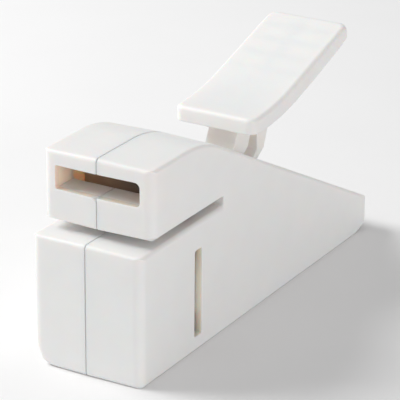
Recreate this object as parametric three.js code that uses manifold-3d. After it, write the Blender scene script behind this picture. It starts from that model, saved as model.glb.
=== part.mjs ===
// Handheld bag heat sealer, in millimetres, +Z up, front towards -Y, resting on its flat base.
// A thumb lever on the sloping back turns on an axle behind the bag throat. Its short front nose
// lifts a sprung carriage, whose heated bar rises out of the lower jaw and presses the bag against
// a silicone pad in the head. Two AA cells lie side by side in the tail.
// Lengths along the tool are written from the front face of the lower jaw; the last lines of the
// file move everything so that the origin is under the middle of the tool.
import * as THREE from "three";
import { mergeVertices } from "three/addons/utils/BufferGeometryUtils.js";
import Module from "manifold-3d";

const wasm = await Module();
wasm.setup();

// ---- driving dimensions -------------------------------------------------------------------
const HALF_WIDTH = 17;
const WALL = 2.2;
const SEAM = 0.15; // half of the gap between the two body shells
const LIP = { clearance: 0.15, depth: 1.1, reach: 1.8 }; // inner edge that closes the seam
const DRAFT = 0.35; // how far a moulded face falls back from the seam to the side
const FRONT = -DRAFT;
const REAR = 130;
const JAW_TOP = 37.62;
const HEAD_BOTTOM = 39.85;
const THROAT_END = 42.55;
const HEAD_FRONT = 5.53;
const HEAD_TOP = 59.75;
const BACK_SLOPE = Math.tan(THREE.MathUtils.degToRad(26.9));
const BACK_AT_REAR = 10.45; // height of the sloping back where it meets the rear face
const RIDGE_RADIUS = 40;
const RIGHT_LOW_EDGES = { base: 0.9, head: 0.5 };
const LEFT_LOW_EDGES = { base: 7.3, head: 2.4 }; // the left lower edges are rounded for the palm
const INSIDE_X = HALF_WIDTH - WALL;

const WINDOW = { halfWidth: 13, bottom: 48.8, top: 55.5, corner: 1.4, shelfDepth: 8.9 };
const SLIT = { front: 27.6, back: 31.4, bottom: 4.1, top: 29.5 };

const AXLE = { y: 47.6, z: 23.5, radius: 2, halfLength: 13.2 };
const PRESS_ANGLE = THREE.MathUtils.degToRad(26.4);
const NOSE_REACH = 17.9;
const NOSE = {
  y: AXLE.y - NOSE_REACH * Math.cos(PRESS_ANGLE / 2),
  z: AXLE.z - NOSE_REACH * Math.sin(PRESS_ANGLE / 2),
};
const LIFT = 2 * NOSE_REACH * Math.sin(PRESS_ANGLE / 2);
const LIFT_PIN = { radius: 1.5, halfLength: 11.4 };

const BAR_Y = (SLIT.front + SLIT.back) / 2; // the sealing line across the jaws
const BAR = { halfLength: 12.7, halfWidth: 2.5 };
const BAR_TOP_AT_REST = HEAD_BOTTOM - 0.3 - LIFT;
const CARRIAGE = { bottom: 9.5, top: 26.2, halfWidth: 12, front: BAR_Y - 4.9, back: BAR_Y + 5.2 };
const FOOT = { front: 13.6, top: 12.5 };
const RETURN_SPRING = { x: 8, y: 18.8, radius: 3.3, wire: 0.45, turns: 7 };

const ARM_HALF_WIDTH = 4.6;
const HUB_RADIUS = 5.2;
const PADDLE = {
  halfWidth: 12.9, front: 66, rear: 122.6, top: 53.6, thickness: 4.6, swell: 0.8, tipRadius: 2.3,
  bendStart: 67, bendRadius: 80, tray: 0.42,
};
const PADDLE_TILT = THREE.MathUtils.degToRad(16.5);
const FLANGE = { front: 70.2, rear: 91.5, halfWidth: 8.7, upper: 0.47, lower: 0.95 };
const PADDLE_SCREW = { x: 6.7, y: 80, head: 1.6, headHeight: 0.9, shank: 0.8 };
const ARM_SLOT = { halfWidth: 5.3, front: 64.6, back: 97.5 };

const CELL = { radius: 7.1, length: 49.2, nubRadius: 2.7, nub: 1.1, x: 7.35, z: 9.75, front: 55.4 };
const BULKHEAD_Y = 51.2; // front wall of the battery bay
const BAY_END = 109.6;
// The door reaches further right, where the low edge is tight, so that each cell can come out.
const DOOR = { front: 55, left: 11, right: 14.3, tongue: 1, lip: 0.95, top: 2.3, gap: 0.3, recess: 0.25 };

// screw positions (y, z) that hold the two shells together
const SHELL_SCREWS = [[7.2, 7.2], [46.4, 9.4], [45.5, 45.5], [117, 8.6]];
const SCREW = { shank: 1.3, head: 2.6, headHeight: 1.8, seat: -7, tip: 10.5 };

// ---- colours and finishes -----------------------------------------------------------------
const finish = (color, roughness, metalness = 0) =>
  new THREE.MeshStandardMaterial({ color, roughness, metalness });
const WHITE = finish(0xe9e8e6, 0.42);
const WARM_WHITE = finish(0xe2dcd4, 0.5);
const STEEL = finish(0xb9bcc0, 0.3, 1);
const BRASS = finish(0xc9a35a, 0.35, 1);
const NICKEL = finish(0xc8c6c0, 0.35, 1);
const PHENOLIC = finish(0x4a2f1e, 0.6);
const SHIELD = finish(0xc8b1a0, 0.6);
const PTFE = finish(0x8a6a4a, 0.55);
const SILICONE = finish(0xc8502e, 0.7);
const CELL_JACKET = finish(0x3f5a48, 0.4);

// ---- shape helpers ------------------------------------------------------------------------
// A closed three.js geometry as a solid that can be joined and cut.
function solid(geometry) {
  const bare = geometry.clone();
  bare.deleteAttribute("normal");
  bare.deleteAttribute("uv");
  const merged = mergeVertices(bare, 1e-4);
  return new wasm.Manifold(new wasm.Mesh({
    numProp: 3,
    vertProperties: new Float32Array(merged.attributes.position.array),
    triVerts: new Uint32Array(merged.index.array),
  }));
}

function geometryOf(shape) {
  const mesh = shape.getMesh();
  const geometry = new THREE.BufferGeometry();
  geometry.setAttribute("position", new THREE.BufferAttribute(mesh.vertProperties, 3));
  geometry.setIndex(new THREE.BufferAttribute(mesh.triVerts, 1));
  const flat = geometry.toNonIndexed();
  flat.computeVertexNormals();
  return flat;
}

const join = (...parts) => parts.reduce((a, b) => a.add(b));
const cut = (shape, ...tools) => tools.reduce((a, b) => a.subtract(b), shape);

function box(x0, x1, y0, y1, z0, z1) {
  const geometry = new THREE.BoxGeometry(x1 - x0, y1 - y0, z1 - z0);
  return solid(geometry.translate((x0 + x1) / 2, (y0 + y1) / 2, (z0 + z1) / 2));
}

// Cylinders along X, Y and Z.
function rodX(y, z, radius, x0, x1, sides = 20) {
  const geometry = new THREE.CylinderGeometry(radius, radius, x1 - x0, sides);
  return solid(geometry.rotateZ(Math.PI / 2).translate((x0 + x1) / 2, y, z));
}
function rodY(x, z, radius, y0, y1, sides = 16) {
  const geometry = new THREE.CylinderGeometry(radius, radius, y1 - y0, sides);
  return solid(geometry.translate(x, (y0 + y1) / 2, z));
}
function rodZ(x, y, radius, z0, z1, sides = 16) {
  const geometry = new THREE.CylinderGeometry(radius, radius, z1 - z0, sides);
  return solid(geometry.rotateX(Math.PI / 2).translate(x, y, (z0 + z1) / 2));
}

// A side-view outline of [y, z] points, extruded across the tool from x0 to x1.
function slab(points, x0, x1) {
  const shape = new THREE.Shape(points.map(([y, z]) => new THREE.Vector2(y, z)));
  const geometry = new THREE.ExtrudeGeometry(shape, { depth: x1 - x0, bevelEnabled: false });
  const sideways = new THREE.Matrix4().set(0, 0, 1, x0, 1, 0, 0, 0, 0, 1, 0, 0, 0, 0, 0, 1);
  return solid(geometry.applyMatrix4(sideways));
}

// A rectangle with rounded corners, centred on x = 0, extruded along +Z.
function roundedBlock(halfWidth, low, high, corner, depth) {
  const shape = new THREE.Shape();
  const turn = (x, y, from) => shape.absarc(x, y, corner, from, from + Math.PI / 2, false);
  turn(halfWidth - corner, low + corner, -Math.PI / 2);
  turn(halfWidth - corner, high - corner, 0);
  turn(-halfWidth + corner, high - corner, Math.PI / 2);
  turn(-halfWidth + corner, low + corner, Math.PI);
  return new THREE.ExtrudeGeometry(shape, { depth, bevelEnabled: false, curveSegments: 4 });
}

// A rounded rectangle in the plane across the tool, extruded along it from y0 to y1.
function frontSlot(halfWidth, z0, z1, corner, y0, y1) {
  const geometry = roundedBlock(halfWidth, z0, z1, corner, y1 - y0);
  return solid(geometry.rotateX(Math.PI / 2).translate(0, y1, 0));
}

// What has to go to round a left lower edge that runs along the tool at the corner (x, z).
function edgeTool(x, z, radius, y0, y1) {
  const [middleX, middleZ] = [x + radius - 0.03, z + radius - 0.03];
  const block = box(x - 1, middleX, y0, y1, z - 1, middleZ);
  return cut(block, rodY(middleX, middleZ, radius, y0 - 1, y1 + 1, 24));
}

// A tube along a list of [x, y, z] points.
function wire(points, radius, steps, sides = 6) {
  const path = new THREE.CatmullRomCurve3(points.map((p) => new THREE.Vector3(...p)));
  const section = new THREE.Shape();
  section.absarc(0, 0, radius, 0, 2 * Math.PI, false);
  const settings = { steps, curveSegments: sides / 2, extrudePath: path };
  return solid(new THREE.ExtrudeGeometry(section, settings));
}

// A coil spring standing along an axis given by two perpendicular unit vectors and its direction.
function coil(centre, along, radius, wireRadius, length, turns, stepsPerTurn = 10) {
  const axis = new THREE.Vector3(...along);
  const u = new THREE.Vector3(axis.y, axis.z, axis.x);
  const v = new THREE.Vector3().crossVectors(axis, u);
  const count = Math.round(turns * stepsPerTurn);
  const points = Array.from({ length: count + 1 }, (_, i) => {
    const angle = (2 * Math.PI * i) / stepsPerTurn;
    const p = new THREE.Vector3(...centre).addScaledVector(axis, (length * i) / count);
    p.addScaledVector(u, radius * Math.cos(angle));
    return p.addScaledVector(v, radius * Math.sin(angle)).toArray();
  });
  return wire(points, wireRadius, count);
}

// ---- the body outline ---------------------------------------------------------------------
// Corners of the side view at the seam, counter-clockwise. r rounds the corner. draft and edge
// belong to the stretch that starts at the corner: how far it falls back towards the side, and
// the radius that rolls it over into the side face. A stretch with low has a different radius on
// each side of the tool.
const backHeight = (y) => BACK_AT_REAR + (REAR - y) * BACK_SLOPE;
const ridgeY = REAR - (HEAD_TOP - BACK_AT_REAR) / BACK_SLOPE;
const CORNERS = [
  { y: FRONT, z: 0, r: 1.2, n: 3, draft: 0, low: "base" },
  { y: 123.5, z: 0, r: 8, n: 3, draft: 0, low: "base" },
  { y: REAR, z: 2.1, r: 1.4, n: 3, draft: DRAFT, edge: 1.4 },
  { y: REAR, z: BACK_AT_REAR, r: 1.2, n: 3, draft: DRAFT, edge: 1.1 },
  { y: ridgeY, z: HEAD_TOP, r: RIDGE_RADIUS, n: 9, draft: DRAFT, edge: 1.1 },
  { y: HEAD_FRONT, z: HEAD_TOP, r: 1.4, n: 3, draft: DRAFT, edge: 2.9 },
  { y: HEAD_FRONT, z: HEAD_BOTTOM, r: 0.8, n: 2, draft: DRAFT, low: "head" },
  { y: THROAT_END, z: HEAD_BOTTOM, r: 0.4, n: 2, draft: DRAFT, edge: 0.5 },
  { y: THROAT_END, z: JAW_TOP, r: 0.4, n: 2, draft: DRAFT, edge: 1.3 },
  { y: FRONT, z: JAW_TOP, r: 1.2, n: 3, draft: DRAFT, edge: 2.9 },
];

// The outline with each stretch moved inwards by inset(stretch). Every corner keeps its number
// of points, so two outlines can be joined point by point.
function outline(inset, corners = CORNERS) {
  const count = corners.length;
  const at = (i) => corners[(i + count) % count];
  const stretch = (i) => {
    const [a, b] = [at(i), at(i + 1)];
    const direction = new THREE.Vector2(b.y - a.y, b.z - a.z).normalize();
    const inwards = new THREE.Vector2(-direction.y, direction.x);
    return { direction, point: new THREE.Vector2(a.y, a.z).addScaledVector(inwards, inset(a)) };
  };
  return corners.flatMap((corner, i) => {
    const [before, after] = [stretch(i - 1), stretch(i)];
    const turn = before.direction.cross(after.direction);
    const gap = after.point.clone().sub(before.point);
    const run = gap.cross(after.direction) / turn;
    const vertex = before.point.clone().addScaledVector(before.direction, run);
    const shift = Math.sign(turn) * (inset(at(i - 1)) + inset(corner)) / 2;
    const radius = Math.max(corner.r - shift, 0.1);
    const half = Math.asin(Math.min(1, Math.abs(turn))) / 2;
    const tangent = radius * Math.tan(half);
    const start = vertex.clone().addScaledVector(before.direction, -tangent);
    const centre = start.clone().addScaledVector(
      new THREE.Vector2(-before.direction.y, before.direction.x), Math.sign(turn) * radius);
    return Array.from({ length: corner.n + 1 }, (_, k) => {
      const angle = Math.sign(turn) * 2 * half * (k / corner.n);
      const spoke = start.clone().rotateAround(centre, angle);
      const edge = THREE.MathUtils.lerp(at(i - 1).edge, corner.edge, k / corner.n);
      return { y: spoke.x, z: spoke.y, edge };
    });
  });
}

// The outer skin of one half, drawn on the right: full size at the seam, rolled over into the side.
function outerHalf(lowEdges) {
  const corners = CORNERS.map((c) => (c.low ? { ...c, edge: lowEdges[c.low] } : c));
  const rings = [outline(() => 0, corners).map((p) => [SEAM, p.y, p.z])];
  for (const degrees of [0, 30, 60, 90]) {
    const angle = THREE.MathUtils.degToRad(degrees);
    const ring = outline((stretch) => stretch.draft + stretch.edge * (1 - Math.cos(angle)), corners);
    rings.push(ring.map((p) => [HALF_WIDTH - p.edge * (1 - Math.sin(angle)), p.y, p.z]));
  }
  const size = rings[0].length;
  const index = [];
  for (let k = 0; k + 1 < rings.length; k++) {
    for (let i = 0; i < size; i++) {
      const [a, b] = [k * size + i, k * size + ((i + 1) % size)];
      index.push(a, b, b + size, a, b + size, a + size);
    }
  }
  const flat = (ring) => ring.map(([, y, z]) => new THREE.Vector2(y, z));
  const last = (rings.length - 1) * size;
  for (const [a, b, c] of THREE.ShapeUtils.triangulateShape(flat(rings[0]), [])) index.push(a, c, b);
  for (const [a, b, c] of THREE.ShapeUtils.triangulateShape(flat(rings.at(-1)), [])) {
    index.push(last + a, last + b, last + c);
  }
  const geometry = new THREE.BufferGeometry();
  geometry.setAttribute("position", new THREE.Float32BufferAttribute(rings.flat(2), 3));
  geometry.setIndex(index);
  return solid(geometry);
}

const insetOutline = (distance) => outline(() => distance).map((p) => [p.y, p.z]);

// Rounds the corners that the front and rear faces leave at the ends of the left lower edges.
function roundedEnds(shape) {
  const { base, head } = LEFT_LOW_EDGES;
  return cut(
    shape,
    edgeTool(-HALF_WIDTH, 0, base, FRONT - 1, REAR + 1),
    edgeTool(-HALF_WIDTH, HEAD_BOTTOM, head, HEAD_FRONT - 1, THROAT_END - 2),
  );
}

// ---- the body shells ----------------------------------------------------------------------
// Everything inside the right half that holds another piece.
function innerRibs() {
  const reach = INSIDE_X + 0.2;
  const [sillFront, sillBack] = [HEAD_FRONT + 1, HEAD_FRONT + WINDOW.shelfDepth];
  const sill = box(SEAM, reach, sillFront, sillBack, WINDOW.bottom - 1.9, WINDOW.bottom);
  const cheek = box(WINDOW.halfWidth, reach, sillFront, sillBack, WINDOW.bottom - 1.9, 58);
  const guideFront = box(12.8, reach, SLIT.front - 1.9, SLIT.front - 0.3, 1, JAW_TOP - 1);
  const guideBack = box(12.8, reach, SLIT.back + 0.3, SLIT.back + 1.9, 1, JAW_TOP - 1);
  const padFront = box(12.6, reach, BAR_Y - 9, BAR_Y - 7.6, HEAD_BOTTOM + 1, 47);
  const padBack = box(12.6, reach, BAR_Y + 5.6, BAR_Y + 7, HEAD_BOTTOM + 1, 50);
  const bayFront = box(SEAM, reach, BULKHEAD_Y, BULKHEAD_Y + 1.5, 1, 16.9);
  const bayBack = box(SEAM, reach, BAY_END, BAY_END + 1.5, DOOR.top + 0.6, 16.6);
  const axleBoss = rodX(AXLE.y, AXLE.z, 4.4, 5.8, reach);
  return join(sill, cheek, guideFront, guideBack, padFront, padBack, bayFront, bayBack, axleBoss);
}

// Openings of one half, drawn on the right. doorReach is how far the door comes out from the seam.
function openings(doorReach) {
  const { halfWidth, bottom, top, corner } = WINDOW;
  const barRoom = BAR.halfWidth + 0.4;
  const doorFront = DOOR.front - DOOR.gap;
  const doorEdge = doorReach + DOOR.gap;
  const doorTop = DOOR.top + DOOR.gap;
  return [
    frontSlot(halfWidth, bottom, top, corner, HEAD_FRONT - 2, HEAD_FRONT + WALL + LIP.depth + 0.5),
    box(HALF_WIDTH - 6, HALF_WIDTH + 1, SLIT.front, SLIT.back, SLIT.bottom, SLIT.top),
    box(-1, BAR.halfLength + 0.5, BAR_Y - barRoom, BAR_Y + barRoom, 34, HEAD_BOTTOM + 0.1),
    box(-1, BAR.halfLength + 0.8, BAR_Y - 3.7, BAR_Y + 3.7, HEAD_BOTTOM - 0.5, HEAD_BOTTOM + 3),
    box(-1, ARM_SLOT.halfWidth, ARM_SLOT.front, ARM_SLOT.back, 22, 60),
    box(-1, doorEdge, doorFront, REAR + 1, -1, doorTop),
    box(-1, doorEdge + DOOR.tongue, doorFront, REAR + 1, DOOR.lip, doorTop),
    rodX(AXLE.y, AXLE.z, AXLE.radius + 0.15, 5, AXLE.halfLength + 0.2),
    box(7.5, 12.5, BULKHEAD_Y - 1, BULKHEAD_Y + 2, 2.4, 3.9),
  ];
}

// One half without its screw bosses, drawn on the right.
function plainHalf(lowEdges, doorReach) {
  const cavity = slab(insetOutline(WALL), SEAM - 1, INSIDE_X);
  const insideRadius = Math.max(lowEdges.base - WALL, 0.5);
  const corner = edgeTool(-INSIDE_X, WALL, insideRadius, FRONT, REAR).mirror([1, 0, 0]);
  const hollow = cut(outerHalf(lowEdges), cut(cavity, corner));
  const inside = innerRibs().intersect(slab(insetOutline(WALL - 0.5), SEAM, HALF_WIDTH - 1));
  return cut(join(hollow, inside), ...openings(doorReach));
}

// A band that follows the inside of the wall, between two depths.
function innerBand(from, to, x0, x1) {
  return cut(slab(insetOutline(from), x0, x1), slab(insetOutline(to), x0 - 1, x1 + 1));
}

function rightShell() {
  const play = 2 * LIP.clearance;
  const lipRoom = innerBand(WALL - 0.02, WALL + LIP.depth + play, -1, LIP.reach + play);
  const bosses = SHELL_SCREWS.map(([y, z]) => rodX(y, z, 3.1, SEAM, INSIDE_X + 0.2));
  const pilots = SHELL_SCREWS.map(([y, z]) => rodX(y, z, SCREW.shank + 0.12, SEAM - 1, SCREW.tip + 1));
  return cut(join(cut(plainHalf(RIGHT_LOW_EDGES, DOOR.right), lipRoom), ...bosses), ...pilots);
}

function leftShell() {
  const half = roundedEnds(plainHalf(LEFT_LOW_EDGES, DOOR.left).mirror([1, 0, 0]));
  const root = innerBand(WALL - 0.3, WALL + LIP.depth, -1.6, -SEAM);
  const tongue = innerBand(WALL + LIP.clearance, WALL + LIP.depth, -1.6, LIP.reach);
  const leftOpenings = openings(DOOR.left).map((tool) => tool.mirror([1, 0, 0]));
  const padRoom = box(-9, 9, BAR_Y - 8, BAR_Y + 6, 30, HEAD_BOTTOM + 9);
  const cellRoom = box(-9, 9, DOOR.front - DOOR.gap, BAY_END, -1, 16);
  const lip = cut(join(root, tongue), ...openings(DOOR.right), ...leftOpenings, padRoom, cellRoom);
  const bosses = SHELL_SCREWS.flatMap(([y, z]) => [
    rodX(y, z, 4.2, -INSIDE_X - 0.2, SCREW.seat + 1.2),
    rodX(y, z, 3.1, SCREW.seat, -SEAM),
  ]);
  const holes = SHELL_SCREWS.flatMap(([y, z]) => [
    rodX(y, z, SCREW.head + 0.4, -HALF_WIDTH - 1, SCREW.seat),
    rodX(y, z, SCREW.shank + 0.12, SCREW.seat - 1, SEAM),
  ]);
  return cut(join(half, lip, ...bosses), ...holes);
}

// Pan-head screw along +X, its head bearing on a seat at x.
function shellScrew([y, z]) {
  const head = rodX(y, z, SCREW.head, SCREW.seat - SCREW.headHeight - 0.05, SCREW.seat - 0.05);
  const shank = rodX(y, z, SCREW.shank, SCREW.seat - 0.5, SCREW.tip, 16);
  const slots = [0, Math.PI / 2].map((turn) => {
    const bar = new THREE.BoxGeometry(1.6, 0.8, 3.2).rotateX(turn);
    return solid(bar.translate(SCREW.seat - SCREW.headHeight, y, z));
  });
  return cut(join(head, shank), ...slots);
}

// Sliding cover of the battery bay. Its outside follows the base and the turned-up tail.
function batteryDoor() {
  const [left, right] = [-DOOR.left, DOOR.right];
  const skin = slab(insetOutline(DOOR.recess), left, right);
  const panel = skin.intersect(box(left, right, DOOR.front, REAR + 1, -1, DOOR.top));
  const [tongueFront, tongueRear] = [DOOR.front, REAR - 1.2];
  const tongues = box(
    left - DOOR.tongue, right + DOOR.tongue, tongueFront, tongueRear, DOOR.lip + 0.3, DOOR.top);
  const middle = (left + right) / 2;
  const grips = Array.from({ length: 4 }, (_, i) =>
    box(middle - 6, middle + 6, 112 + 2.4 * i, 113.2 + 2.4 * i, -1, DOOR.recess + 0.5));
  return cut(join(panel, tongues), ...grips);
}

// ---- the lever ----------------------------------------------------------------------------
// Height of the paddle's upper surface: flat in front, then a long bend, then straight.
function paddleTop(y) {
  const bendEnd = PADDLE.bendStart + PADDLE.bendRadius * Math.sin(PADDLE_TILT);
  if (y < PADDLE.bendStart) return PADDLE.top;
  const inBend = Math.min(y, bendEnd) - PADDLE.bendStart;
  const rise = PADDLE.bendRadius - Math.sqrt(PADDLE.bendRadius ** 2 - inBend ** 2);
  return PADDLE.top + rise + Math.max(0, y - bendEnd) * Math.tan(PADDLE_TILT);
}

// The paddle is thickest in the middle of its length.
function paddleThickness(y) {
  const share = THREE.MathUtils.clamp((y - PADDLE.front) / (PADDLE.rear - PADDLE.front), 0, 1);
  return PADDLE.thickness + PADDLE.swell * Math.sin(Math.PI * share);
}

// The point at a share of the thickness under the upper surface: 0 on top, 1 on the underside.
function paddlePoint(y, share) {
  const slope = (paddleTop(y + 0.05) - paddleTop(y - 0.05)) / 0.1;
  const depth = (share * paddleThickness(y)) / Math.hypot(1, slope);
  return [y + depth * slope, paddleTop(y) - depth];
}

// The layer of the paddle between two shares of its thickness, as a side-view outline.
function paddleLayer(y0, y1, upper, lower, steps = 12) {
  const side = (share) => Array.from({ length: steps + 1 }, (_, i) =>
    paddlePoint(y0 + ((y1 - y0) * i) / steps, share));
  return [...side(lower), ...side(upper).reverse()];
}

// The paddle's side view: the whole layer with a rounded tip.
function paddleSide() {
  const tip = PADDLE.rear - PADDLE.tipRadius;
  const [y, z] = paddlePoint(tip, 0.5);
  const layer = paddleLayer(PADDLE.front - 2, tip, 0, 1);
  const reach = PADDLE.halfWidth + 1;
  return join(slab(layer, -reach, reach), rodX(y, z, paddleThickness(tip) / 2, -reach, reach, 24));
}

// Rounded-corner plan of the paddle, as a tall block to trim layers with.
function paddlePlan(inset, corner) {
  const [front, rear] = [PADDLE.front + inset, PADDLE.rear + 1 - inset];
  const block = roundedBlock(PADDLE.halfWidth - inset, front, rear, corner, 60);
  return solid(block.translate(0, 0, 30));
}

const onBothSides = (make) => [-1, 1].map((side) => make(side * PADDLE_SCREW.x));

function leverPaddle() {
  const reach = PADDLE.halfWidth + 1;
  const layer = (upper, lower) =>
    slab(paddleLayer(PADDLE.front - 3, PADDLE.rear + 3, upper, lower), -reach, reach);
  const body = paddleSide().intersect(paddlePlan(0, 2.8));
  const tray = layer(PADDLE.tray, 1.2).intersect(paddlePlan(2.2, 1.4));
  const ribs = [94, 101, 108, 115].map((y) => box(-reach, reach, y, y + 1.1, 30, 90));
  const spine = box(-0.6, 0.6, 93.4, PADDLE.rear - 2, 30, 90);
  const inner = join(spine, ...ribs).intersect(paddlePlan(1, 1.8)).intersect(layer(0.2, 0.9));
  const top = paddleTop(PADDLE_SCREW.y);
  const pilots = onBothSides((x) => rodZ(x, PADDLE_SCREW.y, PADDLE_SCREW.shank + 0.1, 40, top - 0.4));
  return cut(join(cut(body, tray), inner), ...pilots);
}

// Side view of the arm: hub, nose and the stem that carries the paddle.
const STEM = [
  [46, 28.4], [52.5, 28.9], [60.5, 34.4], [69.6, 42.9], [71.5, 46.4], [71.9, 54],
  [92, 57], [89.6, 44], [87, 37.4], [80.5, 33.6], [74, 30.2], [64, 25.2], [52, 19.3], [47, 18.4],
];
const NOSE_SHAPE = [
  [AXLE.y - 1, AXLE.z - 5.1],
  [NOSE.y + 1, NOSE.z - 2.7],
  [NOSE.y, NOSE.z + 2.8],
  [AXLE.y - 2, AXLE.z + 4.6],
];
const POCKET = [
  [80.6, 47.6], [82.6, 47.6], [83, 38], [79.4, 35.2], [72.4, 31.4], [63.5, 27], [57, 23.9],
  [62.6, 29.2], [71, 35.8], [77.8, 40.8],
];

function leverArm() {
  const flat = (points) => points.map((p) => [...p]).reverse();
  const stem = slab(flat(STEM), -ARM_HALF_WIDTH, ARM_HALF_WIDTH);
  const nose = slab(NOSE_SHAPE, -3.6, 3.6);
  const eye = rodX(NOSE.y, NOSE.z, 2.9, -3.6, 3.6);
  const hub = rodX(AXLE.y, AXLE.z, HUB_RADIUS, -ARM_HALF_WIDTH, ARM_HALF_WIDTH);
  const { front, rear, halfWidth, upper, lower } = FLANGE;
  const flange = slab(paddleLayer(front, rear, upper, lower), -halfWidth, halfWidth);
  const abovePaddle = slab(paddleLayer(60, 100, -2, upper), -9, 9);
  const trimmed = join(cut(stem, abovePaddle), flange);
  const pockets = [[1, 9], [-9, -1]].map(([x0, x1]) => slab(flat(POCKET), x0, x1));
  const [, seat] = paddlePoint(PADDLE_SCREW.y, lower);
  const { y, head, headHeight, shank } = PADDLE_SCREW;
  const seats = onBothSides((x) => rodZ(x, y, head + 0.15, seat - 2, seat + headHeight + 0.1));
  const holes = onBothSides((x) => rodZ(x, y, shank + 0.15, seat - 2, seat + 4));
  const bores = [
    rodX(AXLE.y, AXLE.z, 3.35, -10, 10),
    rodX(NOSE.y, NOSE.z, LIFT_PIN.radius + 0.1, -10, 10),
  ];
  return cut(join(trimmed, nose, eye, hub), ...pockets, ...seats, ...holes, ...bores);
}

function paddleScrew(side) {
  const { x, y, head, headHeight, shank } = PADDLE_SCREW;
  const [, seat] = paddlePoint(y, FLANGE.lower);
  return join(
    rodZ(side * x, y, head, seat + 0.1, seat + headHeight),
    rodZ(side * x, y, shank, seat + 0.5, paddleTop(y) - 0.7, 12),
  );
}

function axleBush(side) {
  const sleeve = rodX(AXLE.y, AXLE.z, 3.2, 0.4, 5);
  const flange = rodX(AXLE.y, AXLE.z, 4.3, ARM_HALF_WIDTH + 0.1, ARM_HALF_WIDTH + 0.9);
  const bush = cut(join(sleeve, flange), rodX(AXLE.y, AXLE.z, AXLE.radius + 0.1, 0, 7));
  return side > 0 ? bush : bush.mirror([1, 0, 0]);
}

// ---- the carriage and its heated bar ------------------------------------------------------
function carriage() {
  const { bottom, top, halfWidth, front, back } = CARRIAGE;
  const block = box(-halfWidth, halfWidth, front, back, bottom, top);
  const foot = box(-halfWidth, halfWidth, FOOT.front, front + 1, bottom, FOOT.top);
  const lugX = INSIDE_X - 0.4;
  const lugs = box(-lugX, lugX, SLIT.front + 0.15, SLIT.back - 0.15, bottom, bottom + 12.5);
  const pegs = [-1, 1].map((side) =>
    rodZ(side * RETURN_SPRING.x, RETURN_SPRING.y, 2.2, FOOT.top - 1, FOOT.top + 2));
  const channel = box(-4.2, 4.2, BAR_Y - 3.4, back + 1, bottom + 4.6, top - 1.8);
  const slot = LIFT_PIN.radius + 0.2;
  const pinSlot = join(
    rodX(NOSE.y - 0.6, NOSE.z, slot, -halfWidth - 1, halfWidth + 1),
    rodX(NOSE.y + 0.1, NOSE.z, slot, -halfWidth - 1, halfWidth + 1),
    box(-halfWidth - 1, halfWidth + 1, NOSE.y - 0.6, NOSE.y + 0.1, NOSE.z - slot, NOSE.z + slot),
  );
  const hollowX = halfWidth - 2.2;
  const hollow = box(-hollowX, hollowX, FOOT.front + 2, RETURN_SPRING.y - 4, bottom - 1, FOOT.top + 1);
  const seats = [-1, 1].map((side) => rodZ(side * 10.4, BAR_Y, 0.85, top - 5, top + 1, 12));
  return cut(join(block, foot, lugs, ...pegs), channel, pinSlot, hollow, ...seats);
}

function heaterBlock() {
  const top = BAR_TOP_AT_REST - 0.95;
  const { halfLength, halfWidth } = BAR;
  const block = box(
    -halfLength, halfLength, BAR_Y - halfWidth, BAR_Y + halfWidth, CARRIAGE.top + 0.05, top);
  const cuts = [-10.4, 10.4].flatMap((x) => [
    rodZ(x, BAR_Y, 0.85, CARRIAGE.top - 1, top + 1, 12),
    box(x - 2.6, x + 3.4, BAR_Y - 3, BAR_Y + 3, top - 1.1, top + 1),
    box(x - 3.4, x + 2.6, BAR_Y - 3, BAR_Y + 3, top - 1.1, top + 1),
    box(x - 1.8, x + 1.8, BAR_Y + 1.6, BAR_Y + 3, 20, top + 1),
  ]);
  return cut(block, ...cuts);
}

const STRIP = { halfWidth: 1.2, top: BAR_TOP_AT_REST - 0.35, thickness: 0.5 };

// Resistance ribbon along the bar, stepping down at each end under its terminal screw.
function heaterStrip() {
  const { top, thickness, halfWidth } = STRIP;
  const low = BAR_TOP_AT_REST - 2;
  const ribbon = join(
    box(-7.5, 7.5, BAR_Y - halfWidth, BAR_Y + halfWidth, top - thickness, top),
    box(-7.6, -7.1, BAR_Y - halfWidth, BAR_Y + halfWidth, low, top),
    box(7.1, 7.6, BAR_Y - halfWidth, BAR_Y + halfWidth, low, top),
    box(-12.2, -7.1, BAR_Y - halfWidth, BAR_Y + halfWidth, low, low + thickness),
    box(7.1, 12.2, BAR_Y - halfWidth, BAR_Y + halfWidth, low, low + thickness),
  );
  const holes = [-1, 1].map((side) => rodZ(side * 10.4, BAR_Y, 0.85, low - 1, low + 1, 12));
  return cut(ribbon, ...holes);
}

function terminalScrew(side) {
  const low = BAR_TOP_AT_REST - 2 + STRIP.thickness;
  const head = rodZ(side * 10.4, BAR_Y, 1.7, low + 0.35, low + 1.25, 16);
  const shank = rodZ(side * 10.4, BAR_Y, 0.75, CARRIAGE.top - 3, low + 0.6, 12);
  return join(head, shank);
}

// Non-stick tape over the ribbon, folded down both sides of the bar.
function ptfeCover() {
  const y = BAR.halfWidth + 0.3;
  const top = BAR_TOP_AT_REST;
  const outer = box(-6.9, 6.9, BAR_Y - y, BAR_Y + y, top - 3.4, top);
  const inner = box(-8, 8, BAR_Y - y + 0.25, BAR_Y + y - 0.25, top - 5, top - 0.3);
  return cut(outer, inner);
}

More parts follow.
